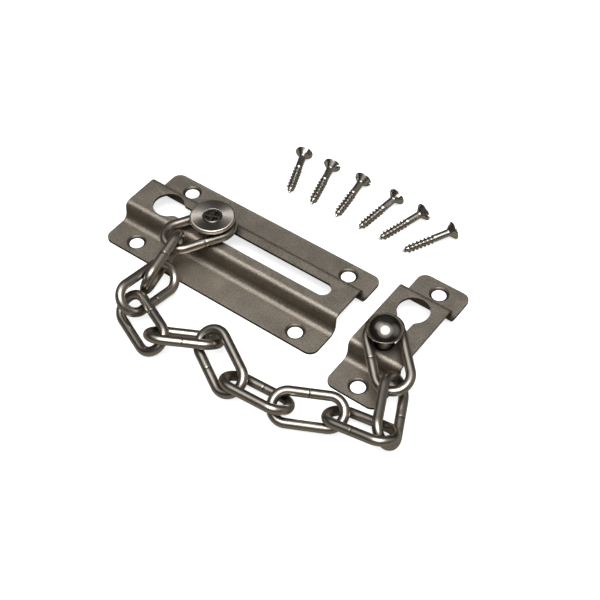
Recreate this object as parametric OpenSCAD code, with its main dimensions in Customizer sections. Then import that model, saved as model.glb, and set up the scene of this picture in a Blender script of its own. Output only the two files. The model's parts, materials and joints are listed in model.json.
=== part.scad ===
// Door chain guard, laid out flat: a track plate and an anchor plate joined by a slack welded chain.
// Lengths are millimetres. The origin is the centre of the track plate's mounting face, +Z leaves
// the door, +X runs along the track and +Y points towards the row of loose screws.

/* [Track plate] */
// Length of the track plate
track_len = 110; // [105:1:120]
// Width of the track plate across both flanges
track_wid = 50; // [49:0.5:56]
// Distance between the track plate's screw holes along its length
track_hole_x = 84; // [80:1:90]
// Distance between the track plate's screw holes across its width
track_hole_y = 37.4; // [36:0.2:40]
// Width of the raised channel's flat top
track_top = 14.2; // [14:0.1:14.6]

/* [Anchor plate] */
// Length of the anchor plate across both flanges
anchor_len = 71.4; // [70:0.2:76]
// Width of the anchor plate
anchor_wid = 24; // [22:0.5:26]
// Distance between the anchor plate's two screw holes
anchor_hole_y = 58.8; // [57:0.2:62]
// Width of the raised channel's flat top
anchor_top = 33; // [33:0.1:33.6]

/* [Sheet metal] */
// Thickness of the pressed sheet
sheet = 1.2; // [1:0.1:1.4]
// Height of the raised channel above the mounting face
channel_h = 10; // [9:0.5:12]
// Lean of the channel walls away from upright, in degrees
wall_lean = 3; // [0:1:6]
// Inside radius of the bends beside the channel's flat top
bend_r = 1.6; // [1.2:0.1:1.7]
// Inside radius of the bends where the walls meet the flanges
heel_r = 3.2; // [1.6:0.1:3.4]
// Corner radius of both plates
corner_r = 4; // [2:0.5:5]
// Diameter of a screw hole at its narrow end
hole_d = 6.2; // [5.6:0.1:6.6]
// Diameter of a screw hole's countersunk rim
sink_d = 8.6; // [8:0.1:9.5]

/* [Keyholes] */
// Width of the narrow slots
slot_w = 7.2; // [7:0.1:7.8]
// Diameter of the wide round end of each keyhole
key_d = 13.5; // [13.2:0.1:14.5]
// Radius that eases the step from round end to slot
key_ease = 3; // [2:0.5:4]
// Position of the track keyhole's round end along the track
track_key_x = -39; // [-41:0.5:-37]
// Position of the far end of the track slot
track_slot_x = 42; // [36:0.5:43]
// Distance of the anchor keyhole's round end behind the plate's middle
anchor_key_y = 9; // [8:0.5:10]
// Distance of the anchor slot's closed end in front of the plate's middle
anchor_slot_y = 12.5; // [12:0.5:13]

/* [Studs] */
// Diameter of both stud necks
neck_d = 6.6; // [6:0.1:6.8]
// Diameter of both stud feet, which pass the round ends but not the slots
foot_d = 9.4; // [9:0.1:9.5]
// Thickness of both stud feet
foot_t = 1.6; // [1.2:0.1:2]
// Play between a foot and the underside of the sheet
foot_play = 0.2; // [0.1:0.05:0.4]
// Diameter of the track stud's flat cap
cap_d = 19; // [17:0.5:20]
// Height of the cap's underside above the channel
cap_gap = 6.2; // [6:0.1:7]
// Thickness of the cap
cap_t = 2; // [1.6:0.1:3]
// Diameter of the anchor stud's domed knob
knob_d = 15.4; // [14:0.2:18]
// Height of the knob's underside above the channel
knob_gap = 9.2; // [9:0.1:10]
// Height of the knob's dome
dome_h = 4.6; // [3.5:0.1:5.5]
// Position of the track stud along the track
track_stud_x = -14.5; // [-20:0.5:-10]

/* [Chain] */
// Diameter of the chain wire
wire_d = 4; // [3.4:0.1:4.1]
// Length of a link between wire centres
link_len = 28.2; // [28:0.1:29]
// Width of a link between wire centres
link_wid = 12.4; // [12.3:0.1:13]
// Length of an end link between wire centres
end_len = 29.6; // [29.4:0.1:30.4]
// Width of an end link between wire centres
end_wid = 13.8; // [13.7:0.1:14.4]
// Gap left by the butt joint in each link
seam = 0.15; // [0.1:0.05:0.3]

/* [Wood screws] */
// Length of a screw
screw_len = 25; // [20:1:32]
// Diameter of a screw head
head_d = 8; // [7.6:0.1:8.4]
// Outside diameter of the thread
thread_d = 4; // [3.6:0.1:4.2]
// Distance from one turn of the thread to the next
thread_pitch = 1.8; // [1.6:0.1:2.2]
// Width of the driver slot in a screw head
driver_slot = 1.3; // [0.8:0.1:1.5]

/* [Hidden] */

// Facets of a full circle
$fn = 64;
// Amount by which a cutting shape passes the face it cuts
over = 0.5;
// Steps in each bend of the sheet
bend_steps = 10;
// Depth of the straight part of a screw hole, below its countersink
hole_land = 0.3;

// Heights of the stud parts above the mounting face
foot_top = channel_h - sheet - foot_play;
foot_base = foot_top - foot_t;
cap_base = channel_h + cap_gap;
knob_base = channel_h + knob_gap;

// Cap: chamfer of its edge and its centre recess
cap_edge = 0.5;
recess_d = 8.2;
recess_t = 1.1;

// Rivet shanks, the heads formed on them, and the four pits between the ridges of the cap's rivet
shank_d = 3;
shank_play = 0.05;
rivet_head_d = 8;
rivet_head_t = 0.8;
rivet_pit_d = 6.2;
rivet_pit_depth = 0.5;
rivet_ridge = 0.7;
tail_d = 5.4;
tail_t = 0.8;

// Knob: thickness of its lip and width of the lip's ledge
lip_t = 0.5;
lip_w = 0.25;
dome_base_r = knob_d / 2 - lip_w;
dome_r = (pow(dome_base_r, 2) + pow(dome_h, 2)) / (2 * dome_h);

// Lay of the chain, link by link from the track stud: heading over the floor, upward tilt, roll about
// the link's own length, slide back over the wire before it, and sideways shift
lay_heading = [-119, -81, -94, -23, 32, -28, 3, 24, 3, 115, 136];
lay_tilt = [1, -8, 6, -2, -5, -12, 1, 4, 10, 7, 13];
lay_roll = [-5, 75, -45, 37, -35, 33, -30, 30, -25, 52, -8];
lay_slack = [0, 1.8, 10.8, 4.3, 2, 2.3, 2.8, 2.8, 2.3, 2.8, 1.8];
lay_shift = [0, 0, 1, -0.5, 0.4, -0.3, 0, 0, 0, 0, 0];
seam_side = [1, 1, 1, 1, -1, -1, 1, 1, -1, -1, 1];
last = len(lay_heading) - 1;

// Middle of the first link
first_link = [-17, -6.5, channel_h + 2.9];
// Gap between two wires in contact
wire_gap = 0.15;

// Anchor stud and anchor plate, on the floor by the chain's far end
anchor_stud = [78, -9.4];
anchor_stud_play = 0.2;
anchor_mid = [anchor_stud[0], anchor_stud[1] + anchor_slot_y - anchor_stud_play];

// Screws: fanned out behind the track plate, tips in a row
screw_tip_x = [-7, 5, 18, 30, 40.5, 52.5];
screw_tip_y = 43;
screw_turn = [110, 103, 95, 81, 71, 60];
screw_spin = [20, 70, 100, 35, 80, 120];
head_edge = 0.3;
head_cone = 2.5;
screw_shank_d = 3.2;
screw_core_d = 2.5;
thread_start = 10;
point_len = 3;
driver_depth = 1.5;
thread_turns = floor((screw_len - thread_start - point_len) / thread_pitch);
screw_lean = atan((head_d - thread_d) / 2 / (screw_len - point_len - thread_pitch));

// Colours
satin = [0.47, 0.44, 0.40];
bright = [0.60, 0.57, 0.53];

// Unit vector along a link, from its near end to its far end
function along(i) = [
  cos(lay_heading[i]) * cos(lay_tilt[i]),
  sin(lay_heading[i]) * cos(lay_tilt[i]),
  sin(lay_tilt[i])
];

// Unit vector across a link, before it rolls
function level(i) = [-sin(lay_heading[i]), cos(lay_heading[i]), 0];

// Unit vector across a link, from leg to leg
function across(i) = cos(lay_roll[i]) * level(i) + sin(lay_roll[i]) * cross(along(i), level(i));

// Size of a link between wire centres
function is_end(i) = i == 0 || i == last;
function long_of(i) = is_end(i) ? end_len : link_len;
function wide_of(i) = is_end(i) ? end_wid : link_wid;

// Angle round a link's far bend at which the next link pulls, kept on the bend
function pull_angle(i) =
  let (turn = atan2(along(i + 1) * across(i), along(i + 1) * along(i)))
  max(-90, min(90, turn));

// Wire centre on a link's far bend where the next link hangs
function seat(i) =
  let (r = wide_of(i) / 2, a = pull_angle(i))
  middle(i) + (long_of(i) / 2 - r + r * cos(a)) * along(i) + r * sin(a) * across(i);

// Middle of a link
function middle(i) = i == 0 ? first_link :
  seat(i - 1)
  + (long_of(i) / 2 - wire_d - wire_gap - lay_slack[i]) * along(i)
  + lay_shift[i] * across(i);

// Points along an arc
function arc(centre, r, from, to, steps) = [
  for (k = [0 : steps])
  let (a = from + (to - from) * k / steps)
  centre + r * [cos(a), sin(a)]
];

// Section of the pressed sheet, as a raised channel between two flanges
module channel_section(flat, width) {
  outer_r = bend_r + sheet;
  reach = outer_r + heel_r;
  crown = [flat / 2, channel_h - outer_r];
  drop = (crown[1] + reach * sin(wall_lean) - heel_r - sheet) / cos(wall_lean);
  heel = crown + reach * [cos(wall_lean), sin(wall_lean)] + drop * [sin(wall_lean), -cos(wall_lean)];
  upper = concat(
    arc(crown, outer_r, 90, wall_lean, bend_steps),
    arc(heel, heel_r, 180 + wall_lean, 270, bend_steps),
    [[width / 2, sheet]]
  );
  lower = concat(
    [[width / 2, 0]],
    arc(heel, heel_r + sheet, 270, 180 + wall_lean, bend_steps),
    arc(crown, bend_r, wall_lean, 90, bend_steps)
  );
  right = concat(upper, lower);
  left = [for (k = [len(right) - 1 : -1 : 0]) [-right[k][0], right[k][1]]];
  polygon(concat(right, left));
}

// Rectangle with round corners
module round_corners(size_x, size_y, r) {
  square([size_x - 2 * r, size_y], center = true);
  square([size_x, size_y - 2 * r], center = true);
  for (sx = [-1, 1])
    for (sy = [-1, 1])
      translate([sx * (size_x / 2 - r), sy * (size_y / 2 - r)])
        circle(r);
}

// Blank of a plate: the channel runs along X, the flanges lie at the front and the back
module pressed_sheet(size_x, size_y, flat) {
  intersection() {
    rotate([90, 0, 90])
      linear_extrude(size_x, center = true)
        channel_section(flat, size_y);
    translate([0, 0, -over])
      linear_extrude(channel_h + 2 * over)
        round_corners(size_x, size_y, corner_r);
  }
}

// Countersunk screw hole
module screw_hole() {
  translate([0, 0, -over])
    cylinder(d = hole_d, h = sheet + 2 * over);
  translate([0, 0, hole_land])
    cylinder(d1 = hole_d, d2 = sink_d, h = sheet - hole_land);
  translate([0, 0, sheet])
    cylinder(d = sink_d, h = over);
}

// Keyhole outline: round end at the origin, slot towards +X
module keyhole(length) {
  r = key_d / 2;
  ease_y = slot_w / 2 + key_ease;
  ease_x = sqrt(pow(r + key_ease, 2) - pow(ease_y, 2));
  circle(r);
  translate([0, -slot_w / 2])
    square([length, slot_w]);
  translate([length, 0])
    circle(d = slot_w);
  for (side = [-1, 1])
    difference() {
      polygon([
        [0, 0],
        r / (r + key_ease) * [ease_x, side * ease_y],
        [ease_x, side * ease_y],
        [ease_x, 0]
      ]);
      translate([ease_x, side * ease_y])
        circle(key_ease);
    }
}

module track_plate() {
  color(satin)
    difference() {
      pressed_sheet(track_len, track_wid, track_top);
      for (sx = [-1, 1])
        for (sy = [-1, 1])
          translate([sx * track_hole_x / 2, sy * track_hole_y / 2, 0])
            screw_hole();
      translate([track_key_x, 0, channel_h / 2])
        linear_extrude(channel_h)
          keyhole(track_slot_x - track_key_x);
    }
}

module anchor_plate() {
  color(satin)
    translate([anchor_mid[0], anchor_mid[1], 0])
      difference() {
        pressed_sheet(anchor_wid, anchor_len, anchor_top);
        for (sy = [-1, 1])
          translate([0, sy * anchor_hole_y / 2, 0])
            screw_hole();
        translate([0, anchor_key_y, channel_h / 2])
          rotate([0, 0, -90])
            linear_extrude(channel_h)
              keyhole(anchor_key_y + anchor_slot_y);
      }
}

// Ring round a rivet shank
module bushing(d, base, top) {
  translate([0, 0, base])
    difference() {
      cylinder(d = d, h = top - base);
      translate([0, 0, -over])
        cylinder(d = shank_d + 2 * shank_play, h = top - base + 2 * over);
    }
}

// Rivet shank with its formed tail under the foot
module shank(top) {
  translate([0, 0, foot_base])
    cylinder(d = shank_d, h = top - foot_base);
  translate([0, 0, foot_base - tail_t])
    cylinder(d1 = tail_d - tail_t, d2 = tail_d, h = tail_t);
}

// Places a part on the track stud's axis
module at_track_stud() {
  translate([track_stud_x, 0, 0])
    children();
}

// Places a part on the anchor stud's axis
module at_anchor_stud() {
  translate([anchor_stud[0], anchor_stud[1], 0])
    children();
}

module track_cap() {
  r = cap_d / 2;
  color(bright)
    at_track_stud()
      translate([0, 0, cap_base])
        rotate_extrude()
          polygon([
            [shank_d / 2 + shank_play, 0],
            [r - cap_edge / 2, 0],
            [r, cap_edge / 2],
            [r, cap_t - cap_edge],
            [r - cap_edge, cap_t],
            [recess_d / 2, cap_t],
            [recess_d / 2, cap_t - recess_t],
            [shank_d / 2 + shank_play, cap_t - recess_t]
          ]);
}

module track_rivet() {
  head_base = cap_base + cap_t - recess_t;
  color(bright)
    at_track_stud() {
      shank(head_base);
      difference() {
        translate([0, 0, head_base])
          cylinder(d1 = rivet_head_d, d2 = rivet_head_d - rivet_head_t, h = rivet_head_t);
        translate([0, 0, head_base + rivet_head_t - rivet_pit_depth])
          difference() {
            cylinder(d = rivet_pit_d, h = rivet_pit_depth + over);
            for (turn = [0, 90])
              rotate([0, 0, turn])
                cube([rivet_head_d, rivet_ridge, 2 * rivet_head_t], center = true);
          }
      }
    }
}

module track_collar() {
  color(bright)
    at_track_stud()
      bushing(neck_d, foot_top, cap_base);
}

module track_foot() {
  color(bright)
    at_track_stud()
      bushing(foot_d, foot_base, foot_top);
}

module anchor_knob() {
  color(bright)
    at_anchor_stud() {
      shank(knob_base);
      translate([0, 0, knob_base])
        cylinder(d = knob_d, h = lip_t);
      intersection() {
        translate([0, 0, knob_base + lip_t + dome_h - dome_r])
          sphere(dome_r);
        translate([0, 0, knob_base + lip_t])
          cylinder(r = dome_base_r, h = dome_h + over);
      }
    }
}

module anchor_collar() {
  color(bright)
    at_anchor_stud()
      bushing(neck_d, foot_top, knob_base);
}

module anchor_foot() {
  color(bright)
    at_anchor_stud()
      bushing(foot_d, foot_base, foot_top);
}

// Straight wire along X
module wire(length) {
  rotate([0, 90, 0])
    cylinder(d = wire_d, h = length);
}

// Chain link in the XY plane, its butt joint in the leg on the given side
module link(length, width, side) {
  leg = length - width;
  half = (leg - seam) / 2;
  translate([-leg / 2, -side * width / 2, 0])
    wire(leg);
  translate([-leg / 2, side * width / 2, 0])
    wire(half);
  translate([leg / 2 - half, side * width / 2, 0])
    wire(half);
  for (turn = [0, 180])
    rotate([0, 0, turn])
      translate([leg / 2, 0, 0])
        rotate([0, 0, -90])
          rotate_extrude(angle = 180)
            translate([width / 2, 0])
              circle(d = wire_d);
}

// Link number i where it lies
module laid_link(i) {
  color(bright)
    translate(middle(i))
      rotate([lay_roll[i], -lay_tilt[i], lay_heading[i]])
        link(long_of(i), wide_of(i), seam_side[i]);
}

// One wood screw, its head's face at the origin and its tip towards -Z
module wood_screw() {
  head_r = head_d / 2;
  shank_r = screw_shank_d / 2;
  core_r = screw_core_d / 2;
  thread_r = thread_d / 2;
  root = thread_pitch / 4;
  rings = [
    for (k = [0 : thread_turns - 1])
    let (z = -thread_start - k * thread_pitch)
    for (p = [[core_r, z], [thread_r, z - root], [core_r, z - 2 * root]])
    p
  ];
  head = [[0, 0], [head_r, 0], [head_r, -head_edge], [shank_r, -head_edge - head_cone]];
  point = [[core_r, point_len - screw_len], [0, -screw_len]];
  difference() {
    rotate_extrude()
      polygon(concat(head, [[shank_r, root - thread_start]], rings, point));
    cube([head_d + over, driver_slot, 2 * driver_depth], center = true);
  }
}

module wood_screws() {
  reach = screw_len * cos(screw_lean);
  color(bright)
    for (k = [0 : len(screw_turn) - 1])
      translate([
        screw_tip_x[k] + reach * cos(screw_turn[k]),
        screw_tip_y + reach * sin(screw_turn[k]),
        head_d / 2 * cos(screw_lean)
      ])
        rotate([0, 0, screw_turn[k]])
          rotate([0, 90 - screw_lean, 0])
            rotate([0, 0, screw_spin[k]])
              wood_screw();
}

track_plate();
track_cap();
track_rivet();
track_collar();
track_foot();
laid_link(0);  // track_end_link
laid_link(1);  // link_2
laid_link(2);  // link_3
laid_link(3);  // link_4
laid_link(4);  // link_5
laid_link(5);  // link_6
laid_link(6);  // link_7
laid_link(7);  // link_8
laid_link(8);  // link_9
laid_link(9);  // link_10
laid_link(last);  // anchor_end_link
anchor_knob();
anchor_collar();
anchor_foot();
anchor_plate();
wood_screws();
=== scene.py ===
"""Looks for the door chain guard: finer meshes, nickel finishes, a pale floor and soft studio light.

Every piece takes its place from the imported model, in metres, and rides on the CAD body it belongs to.
"""

import json
import math

import bmesh
import bpy
import numpy as np
from mathutils import Matrix, Vector


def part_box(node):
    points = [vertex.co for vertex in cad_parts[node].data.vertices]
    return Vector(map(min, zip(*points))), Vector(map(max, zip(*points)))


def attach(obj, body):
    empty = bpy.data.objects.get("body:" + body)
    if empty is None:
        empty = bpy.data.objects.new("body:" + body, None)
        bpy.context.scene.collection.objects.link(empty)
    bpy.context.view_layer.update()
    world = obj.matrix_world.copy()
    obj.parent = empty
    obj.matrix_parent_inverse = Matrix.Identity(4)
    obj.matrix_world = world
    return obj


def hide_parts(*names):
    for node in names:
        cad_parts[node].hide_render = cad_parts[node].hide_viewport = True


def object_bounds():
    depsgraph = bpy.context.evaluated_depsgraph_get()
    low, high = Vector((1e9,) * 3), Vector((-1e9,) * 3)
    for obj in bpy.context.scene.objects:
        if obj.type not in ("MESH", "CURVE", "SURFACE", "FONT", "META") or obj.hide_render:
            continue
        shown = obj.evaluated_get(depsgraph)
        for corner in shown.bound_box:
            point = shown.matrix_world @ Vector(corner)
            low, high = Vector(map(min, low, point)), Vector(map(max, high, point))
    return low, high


MM = 0.001
# The share of a side that one fillet may take
LONGEST_FILLET = 0.45

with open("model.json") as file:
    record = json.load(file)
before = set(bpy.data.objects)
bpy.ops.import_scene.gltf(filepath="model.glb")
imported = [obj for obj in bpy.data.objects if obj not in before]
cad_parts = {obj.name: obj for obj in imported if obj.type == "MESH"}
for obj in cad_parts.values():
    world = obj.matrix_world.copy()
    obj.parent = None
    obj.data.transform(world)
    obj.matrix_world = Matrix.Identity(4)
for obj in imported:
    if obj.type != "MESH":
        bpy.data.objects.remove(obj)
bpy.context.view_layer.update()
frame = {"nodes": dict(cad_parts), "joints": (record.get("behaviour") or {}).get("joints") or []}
scene = bpy.context.scene


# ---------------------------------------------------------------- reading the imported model


def solids_of(node):
    """The separate closed solids of a CAD node, each as (points, triangles)."""
    mesh = frame["nodes"][node].data
    mesh.calc_loop_triangles()
    raw = np.array([v.co for v in mesh.vertices], float).reshape(-1, 3)
    corners = np.array([t.vertices[:] for t in mesh.loop_triangles], int).reshape(-1, 3)
    keys, merged = np.unique(np.round(raw, 7), axis=0, return_inverse=True)
    merged = merged.ravel()
    triangles = merged[corners]
    root = list(range(len(keys)))

    def find(i):
        while root[i] != i:
            root[i] = root[root[i]]
            i = root[i]
        return i

    for a, b, c in triangles:
        root[find(a)] = find(b)
        root[find(b)] = find(c)
    label = np.array([find(i) for i in range(len(keys))])
    out = []
    for part in sorted(set(label[triangles[:, 0]])):
        picked = triangles[label[triangles[:, 0]] == part]
        used = np.unique(picked)
        index = {old: new for new, old in enumerate(used)}
        out.append((keys[used], np.vectorize(index.get)(picked)))
    return out


def principal_frame(points, triangles):
    """Centre, axes (longest first, as rows) and sizes of a solid, from its surface."""
    a, b, c = (points[triangles[:, k]] for k in range(3))
    area = np.linalg.norm(np.cross(b - a, c - a), axis=1) / 2
    middle = (a + b + c) / 3
    centre = (middle * area[:, None]).sum(0) / area.sum()
    spread = np.zeros((3, 3))
    for v in (a - centre, b - centre, c - centre):
        spread += (v * area[:, None]).T @ v / 12
    m = middle - centre
    spread += 9 * (m * area[:, None]).T @ m / 12
    values, vectors = np.linalg.eigh(spread)
    axes = vectors[:, np.argsort(-values)].T
    axes[2] = np.cross(axes[0], axes[1])
    local = (points - centre) @ axes.T
    low, high = local.min(0), local.max(0)
    return centre + ((low + high) / 2) @ axes, axes, high - low


def placement(centre, axes):
    """The 4x4 matrix whose local X, Y and Z are the rows of axes."""
    m = Matrix.Identity(4)
    for col in range(3):
        for row in range(3):
            m[row][col] = axes[col][row]
    m.translation = Vector(centre)
    return m


# ---------------------------------------------------------------- mesh helpers


def make_object(name, points, faces):
    """A new object from points and faces."""
    mesh = bpy.data.meshes.new(name)
    mesh.from_pydata([tuple(p) for p in points], [], faces)
    mesh.update()
    obj = bpy.data.objects.new(name, mesh)
    scene.collection.objects.link(obj)
    return obj


def outward(obj):
    """Turns every face of a closed mesh outwards."""
    bm = bmesh.new()
    bm.from_mesh(obj.data)
    bmesh.ops.remove_doubles(bm, verts=bm.verts, dist=1e-8)
    bmesh.ops.recalc_face_normals(bm, faces=bm.faces)
    bm.to_mesh(obj.data)
    bm.free()
    return obj


def apply_modifiers(obj):
    """Bakes an object's modifiers into its mesh."""
    bpy.context.view_layer.update()
    graph = bpy.context.evaluated_depsgraph_get()
    baked = bpy.data.meshes.new_from_object(obj.evaluated_get(graph), depsgraph=graph)
    obj.modifiers.clear()
    obj.data = baked
    return obj


def cut(obj, cutters, operation="DIFFERENCE"):
    """Cuts obj with each cutter, which is then thrown away."""
    for cutter in cutters:
        mod = obj.modifiers.new("cut", "BOOLEAN")
        mod.operation = operation
        mod.solver = "EXACT"
        mod.object = cutter
    apply_modifiers(obj)
    for cutter in cutters:
        bpy.data.objects.remove(cutter)
    return obj


def soften(obj, width, segments=3, angle=28.0):
    """Rounds an object's sharp edges and shades it smooth, with flats kept flat."""
    bevel = obj.modifiers.new("round", "BEVEL")
    bevel.width = width
    bevel.segments = segments
    bevel.limit_method = "ANGLE"
    bevel.angle_limit = math.radians(angle)
    bevel.use_clamp_overlap = True
    bevel.miter_outer = "MITER_ARC"
    apply_modifiers(obj)
    obj.data.polygons.foreach_set("use_smooth", [True] * len(obj.data.polygons))
    weighted = obj.modifiers.new("normals", "WEIGHTED_NORMAL")
    weighted.keep_sharp = False
    weighted.weight = 60
    return obj


def smooth(obj, angle=35.0):
    """Shades an object smooth, with edges sharper than angle left crisp."""
    obj.data.polygons.foreach_set("use_smooth", [True] * len(obj.data.polygons))
    obj.data.set_sharp_from_angle(angle=math.radians(angle))
    return obj


def join(name, objs):
    """One object from several."""
    bm = bmesh.new()
    for o in objs:
        part = o.data.copy()
        part.transform(o.matrix_world)
        bm.from_mesh(part)
        bpy.data.meshes.remove(part)
    mesh = bpy.data.meshes.new(name)
    bm.to_mesh(mesh)
    bm.free()
    for o in objs:
        bpy.data.objects.remove(o)
    obj = bpy.data.objects.new(name, mesh)
    scene.collection.objects.link(obj)
    return obj


def prism(name, outline, low, high):
    """A straight prism over a 2D outline."""
    n = len(outline)
    points = [(x, y, low) for x, y in outline] + [(x, y, high) for x, y in outline]
    faces = [list(range(n - 1, -1, -1)), list(range(n, 2 * n))]
    faces += [[k, (k + 1) % n, n + (k + 1) % n, n + k] for k in range(n)]
    return outward(make_object(name, points, faces))


def lathe(name, profile, segments=96):
    """A solid turned about local Z from (radius, height) points, on or off the axis."""
    points, rings = [], []
    for r, z in profile:
        if r < 1e-9:
            rings.append([len(points)] * segments)
            points.append((0, 0, z))
        else:
            rings.append(list(range(len(points), len(points) + segments)))
            for k in range(segments):
                t = 2 * math.pi * k / segments
                points.append((r * math.cos(t), r * math.sin(t), z))
    faces = []
    closed = profile[0][0] > 1e-9
    count = len(profile) if closed else len(profile) - 1
    for i in range(count):
        one, two = rings[i], rings[(i + 1) % len(profile)]
        for k in range(segments):
            j = (k + 1) % segments
            face = []
            for v in (one[k], one[j], two[j], two[k]):
                if v not in face:
                    face.append(v)
            if len(face) > 2:
                faces.append(face)
    return outward(make_object(name, points, faces))


def arc(cx, cy, r, start, end, steps):
    """Points along an arc, angles in degrees."""
    out = []
    for k in range(steps + 1):
        t = math.radians(start + (end - start) * k / steps)
        out.append((cx + r * math.cos(t), cy + r * math.sin(t)))
    return out


def tube_faces(rows, around):
    """Faces of a tube closed at both ends, whose points are given row by row."""
    faces = []
    for i in range(rows - 1):
        for k in range(around):
            j = (k + 1) % around
            a, b = i * around, (i + 1) * around
            faces.append([a + k, a + j, b + j, b + k])
    last = (rows - 1) * around
    faces.append(list(range(around)))
    faces.append([last + k for k in range(around - 1, -1, -1)])
    return faces


def rounded_profile(corners, steps=4):
    """(radius, height) points with a fillet at each corner given as (r, z, fillet)."""
    n = len(corners)
    out = []
    for i, (x, y, f) in enumerate(corners):
        here = np.array([x, y])
        before = np.array(corners[i - 1][:2]) - here
        after = np.array(corners[(i + 1) % n][:2]) - here
        lb, la = np.linalg.norm(before), np.linalg.norm(after)
        f = min(f, lb * LONGEST_FILLET, la * LONGEST_FILLET)
        if f < 1e-7:
            out.append((x, y))
            continue
        p, q = here + before / lb * f, here + after / la * f
        for k in range(steps + 1):
            t = k / steps
            point = (1 - t) ** 2 * p + 2 * t * (1 - t) * here + t * t * q
            out.append(tuple(point))
    return out


# ---------------------------------------------------------------- finishes

# Sizes of the marks, in millimetres
CLOUD = 9.0
RING_MARK = 0.12
STREAK_MARK = 0.16
# How far the painted shade in crevices reaches, and how high the relief stands
CREVICE = 4 * MM
RELIEF = 0.02 * MM
# Strengths: grain on colour and on sheen, the sheen's slow drift and its floor, the painted shade in a
# countersink, the coarse grain's share and size against the fine grain's, and the scale of drawn marks
SPECK = 1.3
SPECK_SHEEN = 0.3
SHEEN_DRIFT = 0.05
LEAST_ROUGH = 0.04
SINK_SHADE = 0.62
COARSE_SHARE = 0.6
COARSE_SIZE = 4
STRETCH = (0.06, 1.0, 1.0)


class NodeTree:
    """Short ways to add and link the nodes of a tree, which is emptied first."""

    def __init__(self, tree):
        tree.nodes.clear()
        self.add = tree.nodes.new
        self.link = tree.links.new

    def node(self, kind, **values):
        """A new node with some of its properties or inputs set."""
        n = self.add(kind)
        for key, value in values.items():
            if hasattr(n, key):
                setattr(n, key, value)
            else:
                n.inputs[key].default_value = value
        return n

    def maths(self, operation, a, b=None, c=None):
        """The result of a maths node on numbers or sockets."""
        n = self.add("ShaderNodeMath")
        n.operation = operation
        for k, v in enumerate((a, b, c)):
            if v is None:
                continue
            if isinstance(v, (int, float)):
                n.inputs[k].default_value = v
            else:
                self.link(v, n.inputs[k])
        return n.outputs[0]

    def noise(self, vector, size_mm, detail=2.0, roughness=0.5):
        """Noise with marks of about size_mm."""
        n = self.node("ShaderNodeTexNoise", Scale=1.0 / (size_mm * MM), Detail=detail, Roughness=roughness)
        self.link(vector, n.inputs["Vector"])
        return n.outputs["Fac"]

    def split(self, vector):
        """The X, Y and Z sockets of a vector."""
        n = self.add("ShaderNodeSeparateXYZ")
        self.link(vector, n.inputs[0])
        return n.outputs

    def reach(self, x, y):
        """The length of the 2D vector x, y."""
        squares = self.maths("ADD", self.maths("POWER", x, 2.0), self.maths("POWER", y, 2.0))
        return self.maths("SQRT", squares)


def metal_level(t, cloud, fine, grain, wear, blotch, crevice_shade):
    """How light the metal is: uneven and speckled, paler at worn edges, with painted shade in crevices."""
    edge = t.add("ShaderNodeNewGeometry").outputs["Pointiness"]
    uneven = t.maths("MULTIPLY_ADD", cloud, blotch * 2, 1.0 - blotch)
    speck = t.maths("MULTIPLY_ADD", fine, grain * 2 * SPECK, 1.0 - grain * SPECK)
    worn = t.maths("MULTIPLY", t.maths("SUBTRACT", edge, 0.5), wear)
    level = t.maths("ADD", t.maths("MULTIPLY", uneven, speck), worn)
    # Painted shade in crevices, taken from ambient occlusion
    crevice = t.node("ShaderNodeAmbientOcclusion", samples=4, Distance=CREVICE)
    return t.maths("MULTIPLY", level, t.maths("POWER", crevice.outputs["AO"], crevice_shade))


def paint_upright_shade(t, level, strength):
    """Paints shade onto steep faces, so that they are darker than flat ones."""
    z = t.split(t.add("ShaderNodeNewGeometry").outputs["Normal"])[2]
    flatness = t.maths("MULTIPLY_ADD", t.maths("ABSOLUTE", z), strength, 1.0 - strength)
    return t.maths("MULTIPLY", level, flatness)


def paint_sink_shade(t, coords, level, x, y, reach):
    """Paints shade into the countersinks at +-x, +-y, out to reach from their centres."""
    place = t.split(coords)
    dx = t.maths("SUBTRACT", t.maths("ABSOLUTE", place[0]), x)
    dy = t.maths("SUBTRACT", t.maths("ABSOLUTE", place[1]), y)
    inside = t.maths("LESS_THAN", t.reach(dx, dy), reach)
    return t.maths("MULTIPLY", level, t.maths("MULTIPLY_ADD", inside, -SINK_SHADE, 1.0))


def turned_tangent(t, coords):
    """The direction round local Z, along the marks of turning."""
    groove = t.node("ShaderNodeVectorMath", operation="CROSS_PRODUCT")
    groove.inputs[0].default_value = (0, 0, 1)
    t.link(coords, groove.inputs[1])
    unit = t.node("ShaderNodeVectorMath", operation="NORMALIZE")
    t.link(groove.outputs[0], unit.inputs[0])
    return unit.outputs[0]


def relief(t, coords, fine, grain, grain_size, rings, streaks):
    """The height of the surface: satin grain, rings round local Z, and streaks along local X."""
    height = t.maths("MULTIPLY", fine, grain)
    coarse = t.noise(coords, grain_size * COARSE_SIZE)
    height = t.maths("MULTIPLY_ADD", coarse, grain * COARSE_SHARE, height)
    if rings:
        place = t.split(coords)
        ring = t.add("ShaderNodeCombineXYZ")
        t.link(t.reach(place[0], place[1]), ring.inputs[0])
        height = t.maths("MULTIPLY_ADD", t.noise(ring.outputs[0], RING_MARK, 3.0, 0.7), rings, height)
    if streaks:
        stretch = t.node("ShaderNodeMapping", Scale=STRETCH)
        t.link(coords, stretch.inputs["Vector"])
        marks = t.noise(stretch.outputs[0], STREAK_MARK, 2.0, 0.6)
        height = t.maths("MULTIPLY_ADD", marks, streaks, height)
    return height


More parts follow.
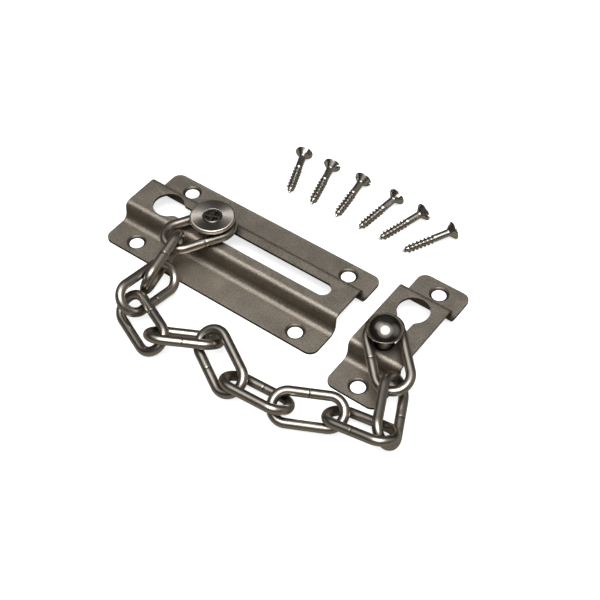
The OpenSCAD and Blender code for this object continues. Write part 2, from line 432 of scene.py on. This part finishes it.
def finish(
    name, colour, rough, grain=0.0, grain_size=0.35, rings=0.0, streaks=0.0,
    wear=0.0, blotch=0.06, turned=0.0, crevice_shade=0.8, upright_shade=0.0, shaded_sinks=None,
):
    """A nickel finish, with its marks in the piece's own coordinates.

    colour and rough are those of the plain metal, and grain_size is in millimetres. The rest are strengths:
    grain is satin speckle, rings and streaks are marks of turning and drawing, wear is at the edges, blotch
    is slow unevenness, turned draws the sheen out across the rings, and the two after it are painted shade,
    in crevices and on steep faces. The last, for countersinks, is (x, y, reach): painted shade in the
    countersinks at +-x, +-y, out to reach.
    """
    mat = bpy.data.materials.new(name)
    mat.use_nodes = True
    t = NodeTree(mat.node_tree)
    shader = t.node("ShaderNodeBsdfPrincipled", Metallic=1.0)
    t.link(shader.outputs[0], t.add("ShaderNodeOutputMaterial").inputs[0])
    coords = t.node("ShaderNodeAttribute", attribute_name="local").outputs["Vector"]
    cloud = t.noise(coords, CLOUD, 3.0)
    fine = t.noise(coords, grain_size, 3.0, 0.65)

    level = metal_level(t, cloud, fine, grain, wear, blotch, crevice_shade)
    # Painted shade on steep faces and in the countersinks
    if upright_shade:
        level = paint_upright_shade(t, level, upright_shade)
    if shaded_sinks:
        level = paint_sink_shade(t, coords, level, *shaded_sinks)
    tint = t.node("ShaderNodeVectorMath", operation="SCALE")
    tint.inputs[0].default_value = colour
    t.link(level, tint.inputs["Scale"])
    t.link(tint.outputs[0], shader.inputs["Base Color"])

    sheen = t.maths("MULTIPLY_ADD", cloud, 2 * SHEEN_DRIFT, rough - SHEEN_DRIFT)
    sheen = t.maths("MULTIPLY_ADD", fine, grain * SPECK_SHEEN, sheen)
    t.link(t.maths("MAXIMUM", sheen, LEAST_ROUGH), shader.inputs["Roughness"])
    if turned:
        t.link(turned_tangent(t, coords), shader.inputs["Tangent"])
        shader.inputs["Anisotropic"].default_value = turned

    bump = t.node("ShaderNodeBump", Strength=1.0, Distance=RELIEF)
    t.link(relief(t, coords, fine, grain, grain_size, rings, streaks), bump.inputs["Height"])
    t.link(bump.outputs[0], shader.inputs["Normal"])
    return mat


NICKEL = (0.55, 0.485, 0.405)
# Satin plates get painted shade in crevices and on steep faces
satin = dict(rough=0.35, grain=0.9, grain_size=0.42, wear=1.2, blotch=0.2, crevice_shade=1.8, upright_shade=0.72)
spun = finish("turned_nickel", (0.80, 0.735, 0.65), 0.36, grain=0.14, rings=0.6, wear=0.6, turned=0.85)
bright = finish(
    "bright_nickel", (0.55, 0.50, 0.435), 0.28,
    grain=0.15, grain_size=0.4, streaks=0.5, wear=0.3, blotch=0.10,
)
# The rivet's pits get a strong painted shade
rivet_metal = finish("rivet_nickel", (0.68, 0.62, 0.55), 0.22, grain=0.1, wear=0.6, crevice_shade=3.2)
# Collars and feet are coloured dark: painted shade, standing in for the shade under the cap and the knob
shaded_collar_metal = finish("shaded_collar_nickel", (0.27, 0.24, 0.205), 0.36, grain=0.2, crevice_shade=2.2)
polish = finish("polished_nickel", (0.50, 0.455, 0.395), 0.18, grain=0.03, grain_size=0.6, blotch=0.03)
screw_metal = finish("screw_nickel", (0.66, 0.61, 0.54), 0.24, grain=0.12, grain_size=0.3, wear=0.5)


def add_piece(obj, material, body, replaced):
    """Gives a piece its finish, its CAD body and the nodes it stands for.

    The piece's own coordinates are kept in an attribute for its finish, and its place goes into its mesh.
    """
    bpy.context.view_layer.update()
    points = np.zeros(len(obj.data.vertices) * 3, np.float32)
    obj.data.vertices.foreach_get("co", points)
    attribute = obj.data.attributes.new("local", "FLOAT_VECTOR", "POINT")
    attribute.data.foreach_set("vector", points)
    obj.data.transform(obj.matrix_world)
    obj.matrix_world = Matrix.Identity(4)
    obj.data.materials.clear()
    obj.data.materials.append(material)
    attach(obj, body)
    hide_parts(*replaced)
    return obj


# ---------------------------------------------------------------- pressed plates

SHEET = 1.2 * MM
# Inner radii of the bends at the crown and the heel, and the walls' lean in degrees
CROWN = 1.6 * MM
HEEL = 3.2 * MM
LEAN = 3.0
BEND_STEPS = 16
EDGE = 0.16 * MM
# Screw holes: radii of the bore, of the countersink low down and at the face, then the land under it
HOLE = 3.1 * MM
NECK = 3.6 * MM
SINK = 4.3 * MM
LAND = 0.3 * MM
# How far the painted shade of a countersink reaches from its centre
SINK_REACH = 4.25 * MM
# Keyholes: radius of the round end, half width of the slot, and the easing between them
ROUND_END = 6.75 * MM
SLOT = 3.6 * MM
EASE = 3 * MM
CORNER = 4 * MM
# For each plate: half the layout of its screw holes, the width of the channel's flat top, the middle of the
# keyhole's round end, and the length from there to the slot's far end
TRACK_HOLE = (42 * MM, 18.7 * MM)
TRACK_FLAT = 14.2 * MM
TRACK_KEY = (-39 * MM, 0)
TRACK_SLOT = 81 * MM
ANCHOR_HOLE = (0, 29.4 * MM)
ANCHOR_FLAT = 33 * MM
ANCHOR_KEY = (0, 9 * MM)
ANCHOR_SLOT = 21.5 * MM


def channel_outline(flat, width, height):
    """Closed section of the pressed sheet: raised channel between two flanges."""
    outer = CROWN + SHEET
    lean = math.radians(LEAN)
    reach = outer + HEEL
    crown = (flat / 2, height - outer)
    drop = (crown[1] + reach * math.sin(lean) - HEEL - SHEET) / math.cos(lean)
    heel = (
        crown[0] + reach * math.cos(lean) + drop * math.sin(lean),
        crown[1] + reach * math.sin(lean) - drop * math.cos(lean),
    )
    right = arc(*crown, outer, 90, LEAN, BEND_STEPS)
    right += arc(*heel, HEEL, 180 + LEAN, 270, BEND_STEPS)
    right += [(width / 2, SHEET), (width / 2, 0)]
    right += arc(*heel, HEEL + SHEET, 270, 180 + LEAN, BEND_STEPS)
    right += arc(*crown, CROWN, LEAN, 90, BEND_STEPS)
    return right + [(-x, z) for x, z in reversed(right)]


def round_rectangle(size_x, size_y, r):
    """Outline of a rectangle with round corners."""
    out = []
    for sx, sy, start in ((1, 1, 0), (-1, 1, 90), (-1, -1, 180), (1, -1, 270)):
        out += arc(sx * (size_x / 2 - r), sy * (size_y / 2 - r), r, start, start + 90, 16)
    return out


def keyhole_outline(length):
    """Keyhole with its round end at the origin and its slot towards +X."""
    ey = SLOT + EASE
    ex = math.sqrt((ROUND_END + EASE) ** 2 - ey**2)
    turn = math.degrees(math.atan2(ey, ex))
    out = arc(0, 0, ROUND_END, turn, 360 - turn, 72)
    out += arc(ex, -ey, EASE, 180 - turn, 90, 8)[1:]
    out += arc(length, 0, SLOT, -90, 90, 28)
    out += arc(ex, ey, EASE, 270, 180 + turn, 8)[:-1]
    return out


def drill(x, y):
    """A cutter for a countersunk screw hole at x, y."""
    profile = [
        (0, -MM),
        (HOLE, -MM),
        (HOLE, LAND),
        (NECK, SHEET - LAND),
        (SINK, SHEET),
        (SINK, 2 * SHEET),
        (0, 2 * SHEET),
    ]
    cutter = lathe("drill", profile, 72)
    cutter.location = (x, y, 0)
    return cutter


def pressed_plate(name, node, flat, holes, key, turn, length):
    """The sheet of a CAD plate: a channel along X, countersunk holes and a keyhole.

    The keyhole has its round end at key, and its slot runs turn degrees round from +X for length.
    """
    low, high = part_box(node)
    size = high - low
    section = channel_outline(flat, size.y, size.z)
    n = len(section)
    half = size.x / 2
    points = [(-half, y, z) for y, z in section] + [(half, y, z) for y, z in section]
    faces = [list(range(n)), list(range(2 * n - 1, n - 1, -1))]
    faces += [[k, n + k, n + (k + 1) % n, (k + 1) % n] for k in range(n)]
    plate = outward(make_object(name, points, faces))
    cut(plate, [prism("blank", round_rectangle(size.x, size.y, CORNER), -MM, size.z + MM)], "INTERSECT")
    keyhole = prism("keyhole", keyhole_outline(length), size.z / 2, size.z * 1.5)
    keyhole.location = (key[0], key[1], 0)
    keyhole.rotation_euler.z = math.radians(turn)
    cut(plate, [drill(x, y) for x, y in holes] + [keyhole])
    soften(plate, EDGE)
    plate.location = ((low.x + high.x) / 2, (low.y + high.y) / 2, low.z)
    return plate


track_holes = [(x * TRACK_HOLE[0], y * TRACK_HOLE[1]) for x in (-1, 1) for y in (-1, 1)]
track = pressed_plate("track_sheet", "track_plate", TRACK_FLAT, track_holes, TRACK_KEY, 0, TRACK_SLOT)
track_satin = finish("satin_track", NICKEL, shaded_sinks=(*TRACK_HOLE, SINK_REACH), **satin)
add_piece(track, track_satin, "track", ["track_plate"])

anchor_holes = [(ANCHOR_HOLE[0], y * ANCHOR_HOLE[1]) for y in (-1, 1)]
anchor = pressed_plate(
    "anchor_sheet", "anchor_plate", ANCHOR_FLAT, anchor_holes, ANCHOR_KEY, -90, ANCHOR_SLOT,
)
anchor_satin = finish("satin_anchor", NICKEL, shaded_sinks=(*ANCHOR_HOLE, SINK_REACH), **satin)
add_piece(anchor, anchor_satin, "anchor", ["anchor_plate"])


# ---------------------------------------------------------------- chain

AROUND_WIRE = 32
WIRE_FILLET = 0.12 * MM
END_EASE = 0.0001 * MM


def link_path(leg, half, gap, side):
    """Centre line of a link, from one end of its wire round to the other, with the butt joint on side."""
    path = [(gap + END_EASE, side * half)]
    for k in range(1, 8):
        path.append((gap + (leg - gap) * k / 8, side * half))
    path += arc(leg, 0, half, side * 90, -side * 90, 30)
    for k in range(1, 16):
        path.append((leg - 2 * leg * k / 16, -side * half))
    path += arc(-leg, 0, half, -side * 90, -side * 270, 30)
    for k in range(1, 8):
        path.append((-leg + (leg - gap) * k / 8, side * half))
    path.append((-gap - END_EASE, side * half))
    return np.array(path)


def sweep_wire(name, path, r):
    """Round wire of radius r along a flat path, with eased ends."""
    step = np.gradient(path, axis=0)
    step[0] = path[1] - path[0]
    step[-1] = path[-1] - path[-2]
    step /= np.linalg.norm(step, axis=1)[:, None]
    lip = []
    for t in np.radians([0, 30, 60, 90]):
        lip.append((WIRE_FILLET * (1 - math.cos(t)), r - WIRE_FILLET + WIRE_FILLET * math.sin(t)))
    rings = [(path[0] + step[0] * depth, step[0], radius) for depth, radius in lip]
    rings += [(p, d, r) for p, d in zip(path[1:-1], step[1:-1])]
    rings += [(path[-1] - step[-1] * depth, step[-1], radius) for depth, radius in reversed(lip)]
    points = []
    for p, d, radius in rings:
        across = np.array([-d[1], d[0]])
        for k in range(AROUND_WIRE):
            t = 2 * math.pi * k / AROUND_WIRE
            flat = p + across * radius * math.cos(t)
            points.append((flat[0], flat[1], radius * math.sin(t)))
    return outward(make_object(name, points, tube_faces(len(rings), AROUND_WIRE)))


def wire_link(name, points, triangles):
    """A bent wire whose two ends meet in a butt joint half way along one leg."""
    centre, axes, sizes = principal_frame(points, triangles)
    wire = sizes[2]
    length, width = sizes[0] - wire, sizes[1] - wire
    local = (points - centre) @ axes.T
    near = local[np.abs(local[:, 0]) < 0.3 * MM]
    side = 1.0 if near[:, 1].mean() > 0 else -1.0
    gap = np.abs(near[:, 0]).min()
    path = link_path((length - width) / 2, width / 2, gap, side)
    obj = smooth(sweep_wire(name, path, wire / 2), 50)
    obj.matrix_world = placement(centre, axes)
    return obj


links = [j["child"] for j in frame["joints"] if j["child"].startswith("link_")]
for node in ["track_end_link"] + links + ["anchor_end_link"]:
    piece = wire_link(node + "_wire", *solids_of(node)[0])
    add_piece(piece, bright, node, [node])


# ---------------------------------------------------------------- studs

SHANK = 1.5 * MM
BORE = 1.55 * MM
TAIL_TIP = 2.3 * MM
TAIL = 2.65 * MM
TAIL_HEIGHT = 0.8 * MM
RECESS = 4.1 * MM
RECESS_DEPTH = 1.1 * MM
RIVET_HEIGHT = 0.8 * MM
PIT_REACH = 3.1 * MM
PIT_DEPTH = 0.62 * MM
HALF_RIDGE = 0.45 * MM
RIDGE_TURN = 20
DISH = 0.3 * MM
KNOB_EDGE = 0.5 * MM
DOME_INSET = 0.25 * MM
DOME_STEPS = 28


def on_axis(node, obj):
    """Moves a turned piece over the middle of a CAD node's box."""
    low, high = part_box(node)
    obj.location = ((low.x + high.x) / 2, (low.y + high.y) / 2, 0)
    return obj


def shank_corners(foot, top):
    """Corners of a rivet's shank with its formed tail, from foot up to top."""
    return [
        (0, foot, 0),
        (TAIL_TIP, foot, 0.15 * MM),
        (TAIL, foot + TAIL_HEIGHT, 0.1 * MM),
        (SHANK, foot + TAIL_HEIGHT, 0),
        (SHANK, top, 0),
    ]


def bushing(name, node, fillet):
    """A turned ring with eased edges, the size of a CAD node."""
    low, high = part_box(node)
    r = (high.x - low.x) / 2
    corners = [
        (BORE, low.z, fillet / 2),
        (r, low.z, fillet),
        (r, high.z, fillet),
        (BORE, high.z, fillet / 2),
    ]
    return on_axis(node, smooth(lathe(name, rounded_profile(corners), 96), 50))


def cap_disc():
    """The dished cap, with a recess for the rivet's head."""
    low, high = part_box("track_cap")
    r = (high.x - low.x) / 2
    corners = [
        (BORE, low.z, 0),
        (r - 0.2 * MM, low.z, 0.2 * MM),
        (r, low.z + 0.3 * MM, 0.2 * MM),
        (r, high.z - 0.45 * MM, 0.25 * MM),
        (r - 0.5 * MM, high.z, 0.4 * MM),
        (RECESS, high.z - DISH, 0.25 * MM),
        (RECESS, high.z - RECESS_DEPTH, 0.1 * MM),
        (BORE, high.z - RECESS_DEPTH, 0),
    ]
    return smooth(lathe("track_cap_disc", rounded_profile(corners, 5), 128), 50)


def rivet_head():
    """The rivet through the cap, with four pits between the ridges of its head."""
    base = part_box("track_cap")[1].z - RECESS_DEPTH
    top = base + RIVET_HEIGHT
    corners = shank_corners(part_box("track_rivet")[0].z, base) + [
        (4.0 * MM, base, 0.1 * MM),
        (3.65 * MM, top, 0.25 * MM),
        (0, top, 0),
    ]
    rivet = lathe("track_rivet_head", rounded_profile(corners, 4)[:-1] + [(0, top)], 96)
    pits = []
    for quarter in range(4):
        rim = arc(0, 0, PIT_REACH, 8, 82, 12)
        pit = prism("pit", [(HALF_RIDGE, HALF_RIDGE)] + rim, top - PIT_DEPTH, top + MM)
        pit.rotation_euler.z = math.radians(RIDGE_TURN + 90 * quarter)
        pits.append(pit)
    return soften(cut(rivet, pits), 0.12 * MM, 3, 40)


def knob_dome():
    """The domed knob in one piece with its shank and tail."""
    low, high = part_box("anchor_knob")
    r = (high.x - low.x) / 2
    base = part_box("anchor_collar")[1].z
    dome_r = r - DOME_INSET
    dome_h = high.z - base - KNOB_EDGE
    sphere_r = (dome_r**2 + dome_h**2) / (2 * dome_h)
    start = math.degrees(math.asin(dome_r / sphere_r))
    centre = base + KNOB_EDGE + dome_h - sphere_r
    dome = []
    for k in range(DOME_STEPS):
        t = math.radians(start * (1 - k / DOME_STEPS))
        dome.append((sphere_r * math.sin(t), centre + sphere_r * math.cos(t)))
    corners = shank_corners(low.z, base) + [
        (r, base, 0.15 * MM),
        (r, base + KNOB_EDGE, 0.15 * MM),
        (dome_r, base + KNOB_EDGE + 0.02 * MM, 0),
    ]
    profile = rounded_profile(corners, 4)[:-1] + dome + [(0, high.z)]
    return smooth(lathe("anchor_knob_dome", profile, 128), 40)


add_piece(on_axis("track_cap", cap_disc()), spun, "track_stud", ["track_cap"])
add_piece(on_axis("track_cap", rivet_head()), rivet_metal, "track_stud", ["track_rivet"])
# Collars and feet take the dark finish of painted shade
for stud in ("track", "anchor"):
    for part in ("collar", "foot"):
        node = f"{stud}_{part}"
        ring = bushing(node + "_ring", node, 0.15 * MM)
        add_piece(ring, shaded_collar_metal, stud + "_stud", [node])
add_piece(on_axis("anchor_knob", knob_dome()), polish, "anchor_stud", ["anchor_knob"])


# ---------------------------------------------------------------- wood screws

HEAD_EDGE = 0.3 * MM
CONE_END = 2.8 * MM
HEAD_END = 3.4 * MM
DRIVER_DEPTH = 1.5 * MM
DRIVER_HALF = 0.65 * MM
DRIVER_REACH = 5 * MM
BODY_START = 3.2 * MM
SHANK_R = 1.6 * MM
CORE_R = 1.25 * MM
THREAD_R = 2.0 * MM
PITCH = 1.8 * MM
THREAD_START = 10 * MM
POINT = 3 * MM
ROWS_PER_TURN = 14
AROUND_SCREW = 40


def screw_axes(points, triangles):
    """A screw's place, as the middle of its face and axes (groove, side, up), then head radius and length."""
    centre, axes, sizes = principal_frame(points, triangles)
    local = (points - centre) @ axes.T
    radius = np.hypot(local[:, 1], local[:, 2])
    head_side = 1.0 if radius[local[:, 0] > 0].max() > radius[local[:, 0] < 0].max() else -1.0
    up = axes[0] * head_side
    face = centre + up * sizes[0] / 2
    depth = (points - face) @ up
    floor = points[np.abs(depth + DRIVER_DEPTH) < 0.05 * MM]
    floor = floor - floor.mean(0)
    floor = floor - np.outer(floor @ up, up)
    groove = np.linalg.svd(floor)[2][0]
    return face, [groove, np.cross(up, groove), up], radius.max(), sizes[0]


def screw_head(name, head_r):
    """A countersunk head with a driver slot along local X."""
    corners = [
        (0, 0, 0),
        (head_r, 0, 0.12 * MM),
        (head_r, -HEAD_EDGE, 0.1 * MM),
        (SHANK_R, -CONE_END, 0.5 * MM),
        (SHANK_R, -HEAD_END, 0),
        (0, -HEAD_END, 0),
    ]
    head = lathe(name, rounded_profile(corners, 4), 64)
    x, y = DRIVER_REACH, DRIVER_HALF
    cut(head, [prism("slot", [(-x, -y), (x, -y), (x, y), (-x, y)], -DRIVER_DEPTH, 2 * MM)])
    bevel = head.modifiers.new("round", "BEVEL")
    bevel.width = 0.09 * MM
    bevel.segments = 2
    bevel.limit_method = "ANGLE"
    bevel.angle_limit = math.radians(38)
    return apply_modifiers(head)


def screw_radius(z, turn, length):
    """The screw's radius at a depth z under its face, a share turn of the way round."""
    ease_in = min(1.0, max(0.0, (z - THREAD_START + 0.9 * MM) / (1.4 * MM)))
    core = SHANK_R + (CORE_R - SHANK_R) * min(1.0, max(0.0, (z - THREAD_START + 0.7 * MM) / (1.0 * MM)))
    left = length - z
    if left < POINT:
        core *= max(0.02, (left / POINT) ** 0.9)
    phase = ((z - THREAD_START) / PITCH - turn) % 1.0
    ridge = max(0.0, 1.0 - abs(phase - 0.5) / 0.30) ** 0.9
    return core + (THREAD_R - CORE_R) * ridge * ease_in * min(1.0, left / (POINT * 1.2))


def screw_body(name, length):
    """The shank with its helical thread and gimlet point."""
    around = AROUND_SCREW
    rows = int((length - BODY_START) / (PITCH / ROWS_PER_TURN))
    points = []
    for i in range(rows + 1):
        z = BODY_START + (length - BODY_START) * i / rows
        for k in range(around):
            t = 2 * math.pi * k / around
            r = screw_radius(z, k / around, length)
            points.append((r * math.cos(t), r * math.sin(t), -z))
    return outward(make_object(name, points, tube_faces(rows + 1, around)))


def wood_screw(name, points, triangles):
    """A slotted countersunk wood screw in the place of a CAD solid."""
    face, axes, head_r, length = screw_axes(points, triangles)
    head = screw_head(name + "_head", head_r)
    screw = smooth(join(name, [head, screw_body(name + "_body", length)]), 42)
    screw.matrix_world = placement(face, axes)
    return screw


screws = sorted(solids_of("wood_screws"), key=lambda s: s[0][:, 0].mean())
for k, (points, triangles) in enumerate(screws):
    piece = wood_screw(f"wood_screw_{k + 1}", points, triangles)
    add_piece(piece, screw_metal, "track", ["wood_screws"])


# ---------------------------------------------------------------- floor, light and camera

FLOOR_HALF = 3
FLOOR_DROP = 0.05 * MM
FLOOR_GLOW = 0.72
FLOOR_WHITE = (0.93, 0.93, 0.93, 1)
FLOOR_GREY = (0.26, 0.245, 0.215, 1)
# Azimuth, elevation, half width and softness in degrees, then strength
GLOWS = (
    (34, 70, 3, 24, 6.7),
    (216, 50, 15, 35, 0.03),
    (-72, 60, 8, 20, 0.45),
    (120, 35, 10, 25, 0.2),
    (34, 70, 36, 9, 0.30),
)
GLOW_BASE = 0.015
AIM = Vector((0.0332, -0.0034, 0))
CAMERA_AZIMUTH = 36.24
CAMERA_ELEVATION = 48.78
CAMERA_DISTANCE = 0.5245
LENS = 76.63
SENSOR = 36


def direction(azimuth, elevation):
    """The unit vector towards an azimuth and elevation in degrees."""
    a, e = math.radians(azimuth), math.radians(elevation)
    return Vector((math.sin(a) * math.cos(e), -math.cos(a) * math.cos(e), math.sin(e)))


def paper():
    """Paper that is white to the camera and grey to the metal's reflections."""
    mat = bpy.data.materials.new("paper")
    mat.use_nodes = True
    nodes, link = mat.node_tree.nodes, mat.node_tree.links.new
    shader = nodes["Principled BSDF"]
    shader.inputs["Base Color"].default_value = FLOOR_WHITE
    shader.inputs["Roughness"].default_value = 0.6
    shader.inputs["Specular IOR Level"].default_value = 0.1
    shader.inputs["Emission Color"].default_value = (1, 1, 1, 1)
    shader.inputs["Emission Strength"].default_value = FLOOR_GLOW
    grey = nodes.new("ShaderNodeBsdfDiffuse")
    grey.inputs["Color"].default_value = FLOOR_GREY
    seen = nodes.new("ShaderNodeLightPath")
    mix = nodes.new("ShaderNodeMixShader")
    link(seen.outputs["Is Camera Ray"], mix.inputs[0])
    link(grey.outputs[0], mix.inputs[1])
    link(shader.outputs[0], mix.inputs[2])
    link(mix.outputs[0], nodes["Material Output"].inputs["Surface"])
    return mat


def lay_floor():
    """A flat floor just under the object."""
    h = FLOOR_HALF
    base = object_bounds()[0].z
    ground = make_object("floor", [(-h, -h, 0), (h, -h, 0), (h, h, 0), (-h, h, 0)], [[0, 1, 2, 3]])
    ground.location.z = base - FLOOR_DROP
    ground.data.materials.append(paper())


def glow(t, sky, azimuth, elevation, half_width, softness, strength):
    """A soft patch of light in the studio, as a value socket."""
    dot = t.node("ShaderNodeVectorMath", operation="DOT_PRODUCT")
    t.link(sky, dot.inputs[0])
    dot.inputs[1].default_value = direction(azimuth, elevation)
    fade = t.node("ShaderNodeMapRange", interpolation_type="SMOOTHSTEP")
    fade.inputs["From Min"].default_value = math.cos(math.radians(half_width + softness))
    fade.inputs["From Max"].default_value = math.cos(math.radians(half_width))
    fade.inputs["To Min"].default_value = 0
    fade.inputs["To Max"].default_value = strength
    t.link(dot.outputs["Value"], fade.inputs["Value"])
    return fade.outputs[0]


def studio():
    """The world: patches of soft light on a nearly dark base."""
    world = bpy.data.worlds.new("studio")
    scene.world = world
    world.use_nodes = True
    t = NodeTree(world.node_tree)
    background = t.add("ShaderNodeBackground")
    t.link(background.outputs[0], t.add("ShaderNodeOutputWorld").inputs[0])
    sky = t.add("ShaderNodeTexCoord").outputs["Generated"]
    patches = [glow(t, sky, *values) for values in GLOWS]
    total = patches[0]
    for patch in patches[1:]:
        total = t.maths("ADD", total, patch)
    t.link(t.maths("ADD", total, GLOW_BASE), background.inputs["Color"])
    scene.view_settings.view_transform = "Standard"


def place_camera():
    """The camera, above and to the right of the object's front."""
    back = direction(CAMERA_AZIMUTH, CAMERA_ELEVATION)
    camera = bpy.data.objects.new("camera", bpy.data.cameras.new("camera"))
    scene.collection.objects.link(camera)
    camera.data.sensor_width = SENSOR
    camera.data.lens = LENS
    camera.data.clip_start = 0.01
    camera.location = AIM + back * CAMERA_DISTANCE
    camera.rotation_mode = "QUATERNION"
    camera.rotation_quaternion = (-back).to_track_quat("-Z", "Y")
    scene.camera = camera


lay_floor()
studio()
place_camera()
